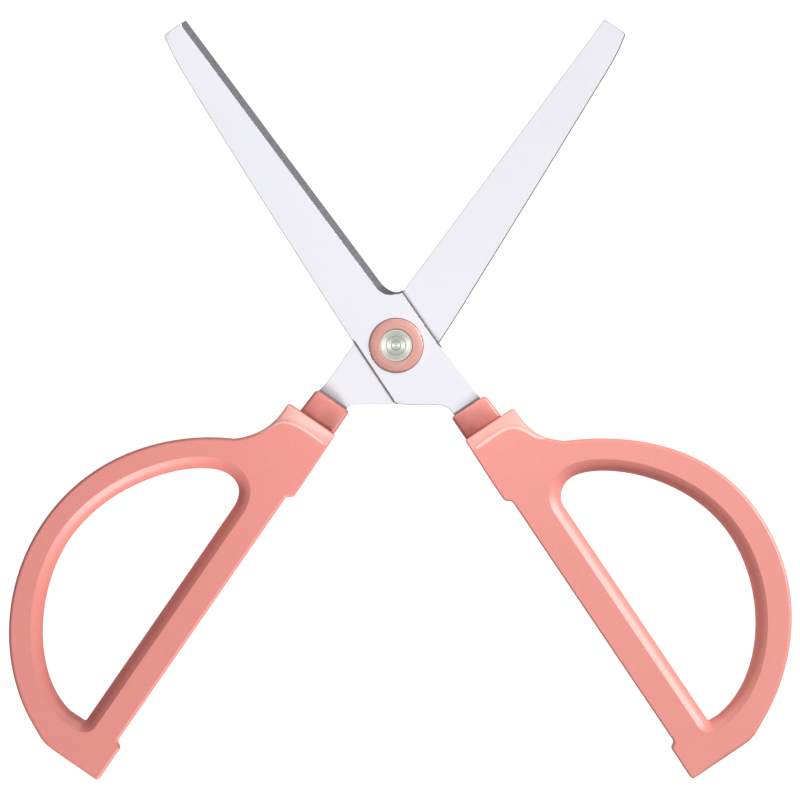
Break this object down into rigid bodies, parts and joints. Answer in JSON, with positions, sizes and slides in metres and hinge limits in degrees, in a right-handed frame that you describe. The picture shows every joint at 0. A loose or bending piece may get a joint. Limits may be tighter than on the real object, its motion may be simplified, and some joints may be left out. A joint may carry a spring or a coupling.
{
  "type": "craft scissors",
  "caption": "Straight-edge craft scissors with flat-tipped steel blades, D-shaped moulded finger loops, and a riveted pivot in a plastic ring.",
  "frame": {"origin": "on the pivot axis, at the flat steel face of the rivet on the back of the scissors", "axes": "+Z along the pivot axis towards the front face, +Y from the pivot towards the gap between the open blades, +X to the right, so that the front half's blade points to -X +Y and its finger loop to +X -Y"},
  "size_m": [0.1545, 0.1502, 0.011],
  "materials": {
    "blade_steel": "fine satin steel, brighter on the faces, with a ground cutting bevel",
    "handle_plastic": "salmon-pink moulded plastic with a fine matte texture",
    "neck_plastic": "salmon-pink moulded plastic, smooth satin",
    "ring_plastic": "salmon-pink moulded plastic, smooth satin",
    "rivet_steel": "turned steel with fine concentric rings"
  },
  "bodies": {
    "rear_half": {"rear_blade": "blade_steel", "rear_handle": "handle_plastic", "rear_neck_sleeve": "neck_plastic", "rear_pivot_ring": "ring_plastic", "pivot_rivet": "rivet_steel", "rivet_rear_cap": "rivet_steel"},
    "front_half": {"front_blade": "blade_steel", "front_handle": "handle_plastic", "front_neck_sleeve": "neck_plastic", "front_pivot_ring": "ring_plastic"}
  },
  "joints": [
    {"name": "blade_pivot", "type": "hinge", "parent": "rear_half", "child": "front_half", "pos_m": [0, 0, 0.0035], "axis": [0, 0, 1], "range_deg": [-68.6, 63]}
  ]
}
